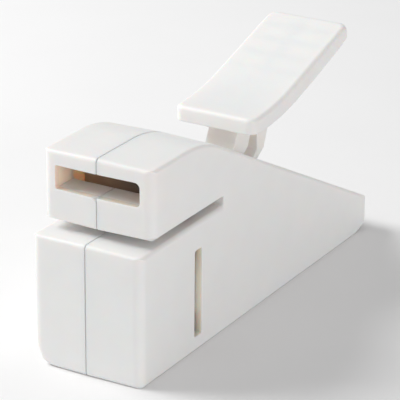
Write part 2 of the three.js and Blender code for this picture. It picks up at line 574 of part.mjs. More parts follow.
// Brass tab from a terminal screw to the rear face of the carriage.
function contactTab(side) {
  const level = BAR_TOP_AT_REST - 2 + STRIP.thickness + 0.02;
  const [base, back] = [CARRIAGE.top + 0.05, CARRIAGE.back + 0.1];
  const tab = join(
    box(8.9, 11.9, BAR_Y - 1.5, BAR_Y + 2.1, level, level + 0.3),
    box(8.9, 11.9, BAR_Y + 1.8, BAR_Y + 2.1, base, level + 0.3),
    box(8.9, 11.9, BAR_Y + 1.8, back + 0.3, base, base + 0.3),
    box(8.9, 11.9, back, back + 0.3, 16.2, base + 0.3),
    box(8.9, 11.9, back, back + 1.4, 16.2, 16.5),
  );
  const holed = cut(tab, rodZ(10.4, BAR_Y, 0.85, level - 1, level + 1, 12));
  return side > 0 ? holed : holed.mirror([1, 0, 0]);
}

const springHeight = JAW_TOP - WALL - 0.7 - FOOT.top - RETURN_SPRING.wire;
function returnSpring(side) {
  const { x, y, radius, wire: wireRadius, turns } = RETURN_SPRING;
  const foot = [side * x, y, FOOT.top + wireRadius + 0.1];
  return coil(foot, [0, 0, 1], radius, wireRadius, springHeight, turns);
}

// ---- the pad in the head ------------------------------------------------------------------
function siliconePad() {
  const length = BAR.halfLength + 0.4;
  return join(
    box(-length, length, BAR_Y - 3.3, BAR_Y + 3.3, HEAD_BOTTOM, HEAD_BOTTOM + 2.6),
    box(-length, length, BAR_Y - 1.5, BAR_Y + 1.5, HEAD_BOTTOM + 2, HEAD_BOTTOM + 4.4),
  );
}
function padHolder() {
  const low = HEAD_BOTTOM;
  const block = box(-14, 14, BAR_Y - 5.6, BAR_Y + 5.3, low + 2.7, low + 6.2);
  const groove = box(-15, 15, BAR_Y - 1.6, BAR_Y + 1.6, low + 2, low + 4.5);
  const ribs = [-9, 0, 9].map((x) =>
    box(x - 0.6, x + 0.6, BAR_Y - 4.6, BAR_Y + 4.6, low + 6, low + 8.6));
  return join(cut(block, groove), ...ribs);
}
function headShield() {
  const y = BAR_Y - 7.3;
  return cut(
    box(-14.4, 14.4, y, y + 1.2, HEAD_BOTTOM + WALL + 0.3, 56.2),
    box(-15, 15, y - 1, y + 2, 54.6, 58).subtract(box(-12.5, 12.5, y - 2, y + 3, 54, 59)),
  );
}

// ---- cells and contacts -------------------------------------------------------------------
// An AA cell along Y whose positive nub points forwards (sign -1) or to the rear (sign +1).
function cell(x, sign) {
  const { radius, length, nub, nubRadius, z, front } = CELL;
  const [r, groove] = [radius, radius - 0.45];
  const profile = [
    [0, 0], [r - 0.9, 0], [r - 0.9, 0.5], [r, 0.9], [r, length - 1.5],
    [groove, length - 0.9], [groove, length - 0.2],
    [nubRadius, length - 0.2], [nubRadius, length + nub], [0, length + nub],
  ];
  const geometry = new THREE.LatheGeometry(profile.map((p) => new THREE.Vector2(...p)), 20);
  if (sign < 0) geometry.rotateX(Math.PI);
  const y = sign < 0 ? front + length + nub - 0.6 : front + 1.2;
  return solid(geometry.translate(x, y, z));
}

// Spring or button face for one end of a cell, and the strip that leads forward from it.
const LEAF = { x0: 8, x1: 12, y: 38.4, reach: 2, floor: 3, top: 26.6 };
function leafContact(side) {
  const plateY = BULKHEAD_Y + 1.55;
  const { x0, x1, y, floor, top } = LEAF;
  const strip = join(
    box(3.4, 12, plateY, plateY + 0.4, floor, 15.4),
    box(x0, x1, y, plateY + 0.4, floor, floor + 0.4),
    box(x0, x1, y, y + 0.4, floor, top),
    box(x0, x1, y - LEAF.reach, y + 0.2, top - 0.4, top),
    box(x0, x1, y - LEAF.reach, y - LEAF.reach + 0.4, top - 3.2, top),
  );
  return side > 0 ? strip : strip.mirror([1, 0, 0]);
}
function rearBridge() {
  const y = BAY_END - 0.5;
  const plate = box(-13, 13, y, y + 0.4, 4, 15.4);
  return join(plate, rodY(CELL.x, CELL.z, 2.4, y - 1.1, y + 0.1));
}
// Tapering coil between a contact plate and the flat end of a cell.
function cellSpring(x, y0, y1) {
  const steps = 40;
  const turns = 3.5;
  const points = Array.from({ length: steps + 1 }, (_, i) => {
    const t = i / steps;
    const radius = 4.6 - 1.8 * t;
    const angle = 2 * Math.PI * turns * t;
    return [x + radius * Math.cos(angle), y0 + (y1 - y0) * t, CELL.z + radius * Math.sin(angle)];
  });
  return wire(points, 0.35, steps);
}

// ---- assembly -----------------------------------------------------------------------------
const sealer = new THREE.Group();
const placed = new THREE.Group();
placed.position.set(0, -(FRONT + REAR) / 2, 0);
sealer.add(placed);

function add(name, shape, material) {
  const mesh = new THREE.Mesh(geometryOf(shape), material);
  mesh.name = name;
  placed.add(mesh);
}

add("right_shell", rightShell(), WHITE);
add("left_shell", leftShell(), WHITE);
add("battery_door", batteryDoor(), WHITE);
SHELL_SCREWS.forEach((at, i) => add(`shell_screw_${i + 1}`, shellScrew(at), STEEL));

add("lever_paddle", leverPaddle(), WHITE);
add("lever_arm", leverArm(), WARM_WHITE);
add("lever_axle", rodX(AXLE.y, AXLE.z, AXLE.radius, -AXLE.halfLength, AXLE.halfLength), STEEL);
add("lift_pin", rodX(NOSE.y, NOSE.z, LIFT_PIN.radius, -LIFT_PIN.halfLength, LIFT_PIN.halfLength), STEEL);

add("carriage", carriage(), WARM_WHITE);
add("heater_block", heaterBlock(), PHENOLIC);
add("heater_strip", heaterStrip(), NICKEL);
add("ptfe_cover", ptfeCover(), PTFE);

add("silicone_pad", siliconePad(), SILICONE);
add("pad_holder", padHolder(), SHIELD);
add("head_shield", headShield(), SHIELD);

for (const [name, side] of [["left", -1], ["right", 1]]) {
  add(`paddle_screw_${name}`, paddleScrew(side), STEEL);
  add(`axle_bush_${name}`, axleBush(side), BRASS);
  add(`return_spring_${name}`, returnSpring(side), STEEL);
  add(`contact_tab_${name}`, contactTab(side), BRASS);
  add(`terminal_screw_${name}`, terminalScrew(side), STEEL);
  add(`leaf_contact_${name}`, leafContact(side), BRASS);
  add(`battery_${name}`, cell(side * CELL.x, side), CELL_JACKET);
}
add("rear_contact_bridge", rearBridge(), NICKEL);
add("cell_spring_front", cellSpring(CELL.x, BULKHEAD_Y + 2.4, CELL.front + 0.75), NICKEL);
add("cell_spring_rear", cellSpring(-CELL.x, BAY_END - 0.95, CELL.front + CELL.length + 0.95), NICKEL);

export default sealer;
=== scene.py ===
"""Looks of the handheld bag heat sealer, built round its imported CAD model.

The shells, the seam, the paddle and the springs are rebuilt with fine surfaces. The other pieces are copies
of their CAD nodes with softened edges. Shapes are written in millimetres in the tool's own lengths
(y = 0 at the front of the lower jaw), and placed() brings them into the row frame.
"""
import math

import bmesh
import bpy
import numpy as np
from mathutils import Matrix, Vector


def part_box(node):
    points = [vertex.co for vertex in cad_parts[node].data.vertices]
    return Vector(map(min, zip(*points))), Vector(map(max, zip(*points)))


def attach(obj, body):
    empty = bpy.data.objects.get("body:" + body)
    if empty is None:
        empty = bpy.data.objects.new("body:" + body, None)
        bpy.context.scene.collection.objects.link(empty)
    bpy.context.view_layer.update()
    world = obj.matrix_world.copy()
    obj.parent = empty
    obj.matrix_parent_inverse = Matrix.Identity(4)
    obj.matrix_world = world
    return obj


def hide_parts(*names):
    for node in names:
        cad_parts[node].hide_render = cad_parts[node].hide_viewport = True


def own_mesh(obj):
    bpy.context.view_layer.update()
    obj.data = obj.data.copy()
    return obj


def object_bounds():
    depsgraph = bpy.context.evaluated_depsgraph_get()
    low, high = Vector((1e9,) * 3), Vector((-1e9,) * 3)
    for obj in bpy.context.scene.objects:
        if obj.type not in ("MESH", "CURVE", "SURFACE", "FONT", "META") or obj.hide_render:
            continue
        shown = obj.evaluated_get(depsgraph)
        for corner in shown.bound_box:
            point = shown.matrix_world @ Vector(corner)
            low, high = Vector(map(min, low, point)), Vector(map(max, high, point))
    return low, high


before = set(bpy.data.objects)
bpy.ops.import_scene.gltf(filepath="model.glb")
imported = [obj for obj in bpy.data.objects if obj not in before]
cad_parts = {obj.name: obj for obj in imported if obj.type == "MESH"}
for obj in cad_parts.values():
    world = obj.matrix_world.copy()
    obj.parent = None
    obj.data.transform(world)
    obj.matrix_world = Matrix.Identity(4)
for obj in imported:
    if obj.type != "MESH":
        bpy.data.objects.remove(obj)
CAD_LOW, CAD_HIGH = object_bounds()

MM = 0.001

# ---- lengths of the body, in millimetres ---------------------------------------------------
HALF_WIDTH = CAD_HIGH.x / MM
DRAFT = 0.35
FRONT = -DRAFT
SHIFT_Y = CAD_LOW.y / MM - FRONT
REAR = CAD_HIGH.y / MM - SHIFT_Y
WALL = 2.2
SEAM = 0.15
SEAM_ROUNDING = 0.22
JAW_TOP = 37.62
HEAD_BOTTOM = 39.85
THROAT_END = 42.55
HEAD_FRONT = 5.53
HEAD_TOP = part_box("right_shell")[1].z / MM
SLOPE = math.radians(26.9)
BACK_AT_REAR = 10.45
RIDGE_RADIUS = 40
INSIDE_X = HALF_WIDTH - WALL
BASE_RADIUS = 0.9
FRONT_RADIUS = 2.9
LOW_LEFT_RADIUS = {"base": 7.3, "head": 2.4}
RADIUS_FADE = 5
TAIL_LIFT = {"start": 123.5, "height": 2.1}
RIM_RADIUS = 0.3

WINDOW = {"half_width": 13, "bottom": 48.8, "top": 55.5, "corners": (1.2, 1.5, 0.6, 0.6)}
SHELF = {"depth": 8.9, "thickness": 1.9, "front": HEAD_FRONT + 1}
CHEEK_TOP = 58
SLIT = {"front": 27.6, "back": 31.4, "bottom": 4.1, "top": 29.5, "corner": 0.7}
BAR_Y = (SLIT["front"] + SLIT["back"]) / 2
JAW_OPENING = {"half_length": 13.2, "half_width": 2.9, "bottom": 34}
PAD_OPENING = {"half_length": 13.5, "half_width": 3.7, "height": 3}
GUIDES = {"inner": 12.8, "thickness": 1.6, "front": SLIT["front"] - 1.9, "back": SLIT["back"] + 0.3}
AXLE = {"y": 47.6, "z": 23.5}
AXLE_BOSS = {"radius": 4.4, "inner": 5.8}
ARM_SLOT = {"half_width": 5.3, "front": 64.6, "back": 97.5, "bottom": 22, "top": 60}
DOOR = {"front": 55, "left": 11, "right": 14.3, "tongue": 1, "lip": 0.95, "top": 2.3, "gap": 0.3}
BULKHEAD = {"front": 51.2, "thickness": 1.5, "top": 16.9}
CELL_BAY = {"half_width": 9, "end": 109.6, "top": 16}
SCREWS = [(7.2, 7.2), (46.4, 9.4), (45.5, 45.5), (117, 8.6)]
SCREW_SEAT = 7
SCREW_BOSS = {"radius": 4.2, "height": 1.2}
SCREW_WELL_RADIUS = 3

PADDLE = {"half_width": 12.9, "front": 66, "rear": 122.6, "top": 53.6, "thickness": 4.6, "swell": 0.8,
          "bend_start": 67, "bend_radius": 80, "tilt": math.radians(16.5), "corner": 2.8}
RIBS = {"half_width": 10.3, "thickness": 1.1, "starts": (94, 101, 108, 115)}
MIDDLE_RIB = {"half_width": 0.6, "front": 93.4, "rear": 119.6}


# ---- mesh helpers ---------------------------------------------------------------------------
def placed(points):
    """Points in the tool's own millimetres as row-frame metres."""
    return [(x * MM, (y + SHIFT_Y) * MM, z * MM) for x, y, z in points]


def new_object(name, bm):
    """A linked object that holds a bmesh, with its faces turned outwards."""
    bmesh.ops.recalc_face_normals(bm, faces=bm.faces)
    mesh = bpy.data.meshes.new(name)
    bm.to_mesh(mesh)
    bm.free()
    obj = bpy.data.objects.new(name, mesh)
    bpy.context.scene.collection.objects.link(obj)
    return obj


def skin_rows(bm, rings):
    """Vertices for rings that all have the same number of points, with quads between them."""
    rows = [[bm.verts.new(point) for point in placed(ring)] for ring in rings]
    for low, high in zip(rows, rows[1:]):
        for i in range(len(low)):
            j = (i + 1) % len(low)
            bm.faces.new((low[i], low[j], high[j], high[i]))
    return rows


def loft(name, rings):
    """A solid whose skin runs through the rings, closed by the first and the last of them."""
    bm = bmesh.new()
    rows = skin_rows(bm, rings)
    bm.faces.new(rows[0][::-1])
    bm.faces.new(rows[-1])
    return new_object(name, bm)


def box(x0, x1, y0, y1, z0, z1):
    """A block between six planes."""
    ring = [(x0, y0), (x1, y0), (x1, y1), (x0, y1)]
    return loft("box", [[(x, y, z) for x, y in ring] for z in (z0, z1)])


def rod_x(y, z, radius, x0, x1, sides=48):
    """A round rod across the tool."""
    turn = [2 * math.pi * i / sides for i in range(sides)]
    circle = [(y + radius * math.cos(a), z + radius * math.sin(a)) for a in turn]
    return slab(circle, x0, x1)


def slab(points, x0, x1):
    """A side-view outline of (y, z) points, extruded across the tool."""
    return loft("slab", [[(x, y, z) for y, z in points] for x in (x0, x1)])


def rounded(x0, x1, z0, z1, radii, steps=6):
    """A rectangle with a radius for each corner, counter-clockwise from the lower right one."""
    places = [(x1, z0, -90), (x1, z1, 0), (x0, z1, 90), (x0, z0, 180)]
    points = []
    for (corner_x, corner_z, start), radius in zip(places, radii):
        x = corner_x + (-radius if corner_x == x1 else radius)
        z = corner_z + (radius if corner_z == z0 else -radius)
        for k in range(steps + 1):
            angle = math.radians(start + 90 * k / steps)
            points.append((x + radius * math.cos(angle), z + radius * math.sin(angle)))
    return points


def boolean(target, operation, *tools):
    """Joins tools to target or cuts them from it, and removes them."""
    for tool in tools:
        modifier = target.modifiers.new(operation, "BOOLEAN")
        modifier.operation = operation
        modifier.solver = "EXACT"
        modifier.material_mode = "TRANSFER"
        modifier.object = tool
    bpy.context.view_layer.update()
    result = target.evaluated_get(bpy.context.evaluated_depsgraph_get())
    mesh = bpy.data.meshes.new_from_object(result)
    target.modifiers.clear()
    target.data = mesh
    for tool in tools:
        bpy.data.objects.remove(tool)
    return target


def cut(target, *tools):
    """Cuts the tools out of target."""
    return boolean(target, "DIFFERENCE", *tools)


def join(target, *tools):
    """Joins the tools to target."""
    return boolean(target, "UNION", *tools)


def merge(target, *others):
    """Adds the faces of other objects to target without cutting them against each other."""
    bm = bmesh.new()
    for obj in (target, *others):
        bm.from_mesh(obj.data)
    bm.to_mesh(target.data)
    bm.free()
    for obj in others:
        bpy.data.objects.remove(obj)
    return target


def round_edges(bm, width, segments, least_angle, chosen=lambda edge: True):
    """Rounds the chosen edges between two faces that meet at more than the least angle."""
    least = math.radians(least_angle)
    edges = [e for e in bm.edges
             if len(e.link_faces) == 2 and e.calc_face_angle(0) > least and chosen(e)]
    bmesh.ops.bevel(bm, geom=edges, offset=width * MM, segments=segments, profile=0.5,
                    affect="EDGES", clamp_overlap=True)


def soften(obj, width, x0, x1, y0, y1, z0, z1):
    """Rounds the sharp edges that lie wholly between six planes."""
    low, high = placed([(x0, y0, z0), (x1, y1, z1)])

    def inside(edge):
        return all(a <= c <= b for v in edge.verts for a, c, b in zip(low, v.co, high))

    bm = bmesh.new()
    bm.from_mesh(obj.data)
    round_edges(bm, width, segments=3, least_angle=40, chosen=inside)
    bm.to_mesh(obj.data)
    bm.free()


def painted(material, *objects):
    """Gives objects a material, which the faces they cut or add to a solid keep."""
    for obj in objects:
        obj.data.materials.clear()
        obj.data.materials.append(material)
    return objects


def smooth(obj, sharp_angle=38):
    """Smooth shading that keeps flat faces flat and edges sharper than the angle crisp."""
    obj.data.shade_smooth()
    obj.data.set_sharp_from_angle(angle=math.radians(sharp_angle))
    weighted = obj.modifiers.new("flat_faces", "WEIGHTED_NORMAL")
    weighted.keep_sharp = True
    weighted.weight = 80


def finished(obj, name, body, material, slot, *nodes):
    """Names a new piece, gives it its material and body, and lets it stand for its CAD nodes. A
    piece whose faces are painted already comes without a material."""
    obj.name = name
    obj.data.name = name
    if material:
        painted(material, obj)
    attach(obj, body)
    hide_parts(*nodes)


# ---- materials ------------------------------------------------------------------------------
class Nodes:
    """Builds one procedural material, with coordinates in metres on the object."""

    def __init__(self, name):
        self.material = bpy.data.materials.new(name)
        self.material.use_nodes = True
        self.tree = self.material.node_tree
        self.shader = self.tree.nodes["Principled BSDF"]
        self.place = self.tree.nodes.new("ShaderNodeTexCoord").outputs["Object"]

    def add(self, kind, **values):
        """A node with the values of some inputs or settings."""
        node = self.tree.nodes.new(kind)
        for key, value in values.items():
            if key in node.inputs:
                node.inputs[key].default_value = value
            else:
                setattr(node, key, value)
        return node

    def link(self, source, target):
        self.tree.links.new(source, target)

    def noise(self, size_mm, detail=3):
        """Noise between 0 and 1 whose features are about size_mm across."""
        node = self.add("ShaderNodeTexNoise", Scale=1 / (size_mm * MM), Detail=detail)
        self.link(self.place, node.inputs["Vector"])
        return node.outputs["Fac"]

    def share_across(self, low, high, axis):
        """0 at the low corner of a box and 1 at its high corner, along X, Y or Z."""
        split = self.add("ShaderNodeSeparateXYZ")
        self.link(self.place, split.inputs[0])
        share = self.add("ShaderNodeMapRange")
        share.inputs["From Min"].default_value = getattr(low, axis.lower())
        share.inputs["From Max"].default_value = getattr(high, axis.lower())
        self.link(split.outputs[axis], share.inputs["Value"])
        return share.outputs["Result"]

    def ramp(self, factor, stops, interpolation="LINEAR"):
        """A colour ramp, with stops as (position, colour or grey value)."""
        node = self.add("ShaderNodeValToRGB")
        node.color_ramp.interpolation = interpolation
        elements = node.color_ramp.elements
        while len(elements) < len(stops):
            elements.new(0.5)
        for element, (position, value) in zip(elements, stops):
            element.position = position
            element.color = (*value, 1) if isinstance(value, tuple) else (value, value, value, 1)
        self.link(factor, node.inputs["Fac"])
        return node.outputs["Color"]

    def bump(self, *heights):
        """Bumps stacked on each other, each (factor, depth in millimetres)."""
        normal = None
        for factor, depth in heights:
            node = self.add("ShaderNodeBump", Distance=depth * MM, Strength=1)
            self.link(factor, node.inputs["Height"])
            if normal is not None:
                self.link(normal, node.inputs["Normal"])
            normal = node.outputs["Normal"]
        self.link(normal, self.shader.inputs["Normal"])

    def set(self, **values):
        """Values of the shader's inputs, with _ for the spaces in their names."""
        for key, value in values.items():
            self.shader.inputs[key.replace("_", " ")].default_value = value


def shade(color, factor):
    """A colour made darker or lighter by a factor."""
    return tuple(c * factor for c in color)


def plastic(name, color, roughness=0.4, grain=0.0015, translucent=0.42, specks=0.012,
            bleed=(1.0, 0.6, 0.45), reach=3.2):
    """Moulded plastic: spark-eroded grain, faint flow clouds and slightly uneven gloss. reach is how
    many millimetres light travels in it, and bleed how far red, green and blue get of that."""
    m = Nodes(name)
    clouds = m.noise(9, detail=4)
    m.link(m.ramp(clouds, [(0.3, shade(color, 1 - specks)), (0.7, shade(color, 1 + specks / 2))]),
           m.shader.inputs["Base Color"])
    m.link(m.ramp(m.noise(2.5, detail=5), [(0.3, roughness - 0.04), (0.7, roughness + 0.05)]),
           m.shader.inputs["Roughness"])
    m.bump((m.noise(0.22, detail=2), grain), (m.noise(14, detail=1), 0.012))
    m.set(IOR=1.49, Specular_IOR_Level=0.5, Subsurface_Weight=translucent,
          Subsurface_Radius=bleed, Subsurface_Scale=reach * MM)
    return m.material


def metal(name, color, roughness=0.3):
    """Drawn or turned metal: fine tool marks, and dull patches where it has been handled."""
    m = Nodes(name)
    m.link(m.ramp(m.noise(1.6, detail=4), [(0.35, shade(color, 0.86)), (0.65, color)]),
           m.shader.inputs["Base Color"])
    m.link(m.ramp(m.noise(0.8, detail=5), [(0.3, roughness), (0.75, roughness + 0.1)]),
           m.shader.inputs["Roughness"])
    m.bump((m.noise(0.15, detail=2), 0.002))
    m.set(Metallic=1.0)
    return m.material


def woven(name, color, thread_scale=1.1):
    """Glass cloth under a non-stick coat."""
    m = Nodes(name)
    waves = []
    for direction in ("X", "Y"):
        wave = m.add("ShaderNodeTexWave", bands_direction=direction, Scale=1 / (thread_scale * MM),
                     Distortion=0.4)
        m.link(m.place, wave.inputs["Vector"])
        waves.append(wave.outputs["Fac"])
    weave = m.add("ShaderNodeMath", operation="MULTIPLY")
    m.link(waves[0], weave.inputs[0])
    m.link(waves[1], weave.inputs[1])
    tint = m.ramp(weave.outputs[0], [(0.0, shade(color, 0.7)), (0.8, color)])
    m.link(tint, m.shader.inputs["Base Color"])
    m.link(m.ramp(m.noise(3), [(0.3, 0.42), (0.7, 0.55)]), m.shader.inputs["Roughness"])
    m.bump((weave.outputs[0], 0.03))
    return m.material


def cell_sleeve():
    """Printed sleeve of an AA cell: a lighter band near one end, bare steel at both ends."""
    m = Nodes("cell_sleeve")
    steel, green, band = (0.5, 0.5, 0.5), (0.05, 0.11, 0.07), (0.55, 0.42, 0.18)
    stops = [(0.0, steel), (0.03, green), (0.7, band), (0.74, green), (0.95, steel)]
    low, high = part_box("battery_right")
    tint = m.ramp(m.share_across(low, high, "Y"), stops, "CONSTANT")
    m.link(tint, m.shader.inputs["Base Color"])
    m.link(m.ramp(m.noise(2), [(0.3, 0.25), (0.7, 0.36)]), m.shader.inputs["Roughness"])
    m.bump((m.noise(6), 0.02))
    m.set(Metallic=0.55)
    return m.material


def shield_plastic():
    """Matt plastic whose colour is a painted glow: warm and pale on the left, fading to a dark
    brown-grey to the right, as if light came in through the case on the left."""
    m = Nodes("shield_plastic")
    # The pale warm stop on the left is painted light, a glow as if light came through the case.
    stops = [(0.1, (0.95, 0.68, 0.48)), (0.55, (0.42, 0.34, 0.29))]
    low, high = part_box("head_shield")
    m.link(m.ramp(m.share_across(low, high, "X"), stops), m.shader.inputs["Base Color"])
    m.link(m.ramp(m.noise(1.5), [(0.3, 0.5), (0.7, 0.62)]), m.shader.inputs["Roughness"])
    m.bump((m.noise(0.22, detail=2), 0.002))
    return m.material


WHITE = (0.887, 0.870, 0.855)
SHELL_PLASTIC = plastic("shell_plastic", WHITE)
# Lighter, pinker copy of the white for the window sill: painted light, so that the shaded sill looks lit.
SILL_PLASTIC_PAINTED_LIGHT = plastic("sill_plastic_painted_light", (0.98, 0.93, 0.905), roughness=0.44)
BACKLIT = {"translucent": 1.0, "bleed": (1.0, 0.56, 0.42), "reach": 5.5}
# Warm tan copy of the white for the faces inside the case and in its openings: painted warm light, the glow
# and bounce in the hollows.
INNER_PLASTIC_PAINTED_GLOW = plastic("inner_plastic_painted_glow", (0.95, 0.83, 0.73), roughness=0.5, **BACKLIT)
# Warm tan copy of the white for the walls of the window: painted warm glow inside the window.
WINDOW_PLASTIC_PAINTED_GLOW = plastic("window_plastic_painted_glow", (0.89, 0.765, 0.68), roughness=0.46, **BACKLIT)
LEVER_PLASTIC = plastic("lever_plastic", (0.892, 0.883, 0.872))
ARM_PLASTIC = plastic("arm_plastic", (0.96, 0.925, 0.885), roughness=0.48)
STEEL = metal("plated_steel", (0.62, 0.63, 0.65))
BRASS = metal("stamped_brass", (0.66, 0.47, 0.20), roughness=0.36)
NICKEL = metal("dull_nickel", (0.60, 0.58, 0.54), roughness=0.38)
RESIN = plastic("brown_resin", (0.16, 0.075, 0.04), roughness=0.5, translucent=0.0, specks=0.2)
# Shield plastic with a painted glow on its left, for the head shield and the pad holder.
SHIELD_PLASTIC_PAINTED_GLOW = shield_plastic()
PTFE = woven("non_stick_cloth", (0.40, 0.25, 0.14))
SILICONE = plastic("silicone_rubber", (0.50, 0.13, 0.07), roughness=0.62, grain=0.003, translucent=0.1)
CELL = cell_sleeve()


# ---- the body outline -----------------------------------------------------------------------
def corners():
    """Side-view corners at the seam: (y, z, rounding, steps, draft and side radius of the stretch
    that starts there)."""
    ridge_y = REAR - (HEAD_TOP - BACK_AT_REAR) / math.tan(SLOPE)
    return [
        (FRONT, 0, 1.2, 6, 0, BASE_RADIUS),
        (TAIL_LIFT["start"], 0, 8, 6, 0, BASE_RADIUS),
        (REAR, TAIL_LIFT["height"], 1.4, 6, DRAFT, 1.4),
        (REAR, BACK_AT_REAR, 1.2, 6, DRAFT, 1.1),
        (ridge_y, HEAD_TOP, RIDGE_RADIUS, 28, DRAFT, 1.1),
        (HEAD_FRONT, HEAD_TOP, 1.4, 6, DRAFT, FRONT_RADIUS),
        (HEAD_FRONT, HEAD_BOTTOM, 0.8, 4, DRAFT, 0.5),
        (THROAT_END, HEAD_BOTTOM, 0.4, 4, DRAFT, 0.5),
        (THROAT_END, JAW_TOP, 0.4, 4, DRAFT, 1.3),
        (FRONT, JAW_TOP, 1.2, 6, DRAFT, FRONT_RADIUS),
    ]


def outline(inset, shape):
    """The outline with each stretch moved inwards by inset(draft, side radius), as (y, z, side
    radius). Every corner keeps its number of points."""
    def stretch(i):
        a, b = shape[i % len(shape)], shape[(i + 1) % len(shape)]
        direction = Vector((b[0] - a[0], b[1] - a[1])).normalized()
        inwards = Vector((-direction.y, direction.x))
        return direction, Vector((a[0], a[1])) + inwards * inset(a[4], a[5])

    points = []
    for i, (_, _, rounding, steps, _, side) in enumerate(shape):
        previous = shape[i - 1]
        (before, start_point), (after, end_point) = stretch(i - 1), stretch(i)
        turn = before.cross(after)
        vertex = start_point + before * ((end_point - start_point).cross(after) / turn)
        sign = math.copysign(1, turn)
        shift = sign * (inset(previous[4], previous[5]) + inset(shape[i][4], side)) / 2
        radius = max(rounding - shift, 0.1)
        half = math.asin(min(1, abs(turn))) / 2
        start = vertex - before * radius * math.tan(half)
        centre = start + Vector((-before.y, before.x)) * sign * radius
        for k in range(steps + 1):
            share = k / steps
            spoke = start - centre
            spoke.rotate(Matrix.Rotation(sign * 2 * half * share, 2))
            point = centre + spoke
            points.append((point.x, point.y, previous[5] + (side - previous[5]) * share))
    return points


def half_skin(side, turns=9, seam_steps=3):
    """The outer skin of one half: rounded seam edge, drafted face, side radius, flat side."""
    shape = corners()
    sign = 1 if side == "right" else -1
    rings = []
    for k in range(seam_steps + 1):
        angle = math.pi / 2 * k / seam_steps
        depth = SEAM_ROUNDING * (1 - math.sin(angle))
        x = SEAM + SEAM_ROUNDING * (1 - math.cos(angle))
        rings.append([(sign * x, y, z) for y, z, _ in outline(lambda d, r: depth, shape)])
    for k in range(turns + 1):
        angle = math.pi / 2 * k / turns
        ring = outline(lambda d, r: d + r * (1 - math.cos(angle)), shape)
        rings.append([(sign * (HALF_WIDTH - r * (1 - math.sin(angle))), y, z) for y, z, r in ring])
    skin = loft("skin", rings)
    if side == "left":
        round_low_edge(skin, 0, LOW_LEFT_RADIUS["base"], REAR + 10)
        round_low_edge(skin, HEAD_BOTTOM, LOW_LEFT_RADIUS["head"], THROAT_END - 1)
    return skin


def round_low_edge(skin, bottom, radius, fade_end, steps=8):
    """Turns the square corner between the left side and a flat bottom into a quarter circle, in
    the view along the tool. It fades away over the last RADIUS_FADE before fade_end."""
    bm = bmesh.new()
    bm.from_mesh(skin.data)
    inner = HALF_WIDTH - radius
    for k in range(steps):
        share = radius * k / steps
        across = placed([(-inner - share, 0, 0)])[0]
        level = placed([(0, 0, bottom + radius - share)])[0]
        for point, normal in ((across, (1, 0, 0)), (level, (0, 0, 1))):
            geometry = bm.verts[:] + bm.edges[:] + bm.faces[:]
            bmesh.ops.bisect_plane(bm, geom=geometry, plane_co=point, plane_no=normal, dist=1e-7)
    for vertex in bm.verts:
        out = (-vertex.co.x / MM - inner) / radius
        down = (bottom + radius - vertex.co.z / MM) / radius
        fade = min(1, max(0, (fade_end - (vertex.co.y / MM - SHIFT_Y)) / RADIUS_FADE))
        if out > 0 and 0 < down < 1.001 and fade > 0:
            turned_out = out * math.sqrt(1 - down * down / 2)
            turned_down = down * math.sqrt(1 - out * out / 2)
            vertex.co.x -= (turned_out - out) * fade * radius * MM
            vertex.co.z -= (turned_down - down) * fade * radius * MM
    bm.to_mesh(skin.data)
    bm.free()


def low_corner_block(x, z, radius, steps=12):
    """What a quarter circle leaves of the square lower left corner at (x, z), along the tool."""
    arc = [(x + radius * (1 - math.cos(a)), z + radius * (1 - math.sin(a)))
           for a in np.linspace(0, math.pi / 2, steps)]
    ring = [(x - 1, z - 1), (x - 1, z + radius), *arc, (x + radius, z - 1)]
    return loft("corner", [[(px, y, pz) for px, pz in ring] for y in (FRONT - 1, REAR + 1)])


def inside_outline(depth):
    """The side-view outline at a depth under the surface, as (y, z)."""
    return [(y, z) for y, z, _ in outline(lambda d, r: depth, corners())]


def seam_strip(half_width=0.14, rear_depth=0.17, front_depth=0.5):
    """The strip that fills the seam, and the tongue behind it. The strip lies nearer the surface on
    the head and back, where the side radius is small, than on the front."""
    def depth_under(draft, side_radius):
        return rear_depth if side_radius < 2 else front_depth

    surface = [(y, z) for y, z, _ in outline(depth_under, corners())]
    strip = cut(slab(surface, -half_width, half_width), slab(inside_outline(WALL), -1, 1))
    inner = cut(slab(inside_outline(WALL + 0.1), -1.6, 1.8), slab(inside_outline(WALL + 1.1), -3, 3))
    pad_room = box(-9, 9, BAR_Y - 8, BAR_Y + 6, 30, HEAD_BOTTOM + 9)
    bay = CELL_BAY["half_width"]
    cell_room = box(-bay, bay, DOOR["front"] - DOOR["gap"], CELL_BAY["end"], -1, CELL_BAY["top"])
    behind_wall = HEAD_FRONT + WALL + 0.05
    under_sill = box(-3, 3, behind_wall, behind_wall + 2, WINDOW["bottom"] - 1, WINDOW["top"] + 1)
    tools = [pad_room, cell_room, under_sill, *shell_openings(1), *shell_openings(-1)]
    return cut(merge(strip, inner), *tools)


# ---- the two body shells --------------------------------------------------------------------
def mirrored(sign, x0, x1, *rest):
    """A box on the right half, or its mirror image on the left half."""
    return box(*sorted((sign * x0, sign * x1)), *rest)


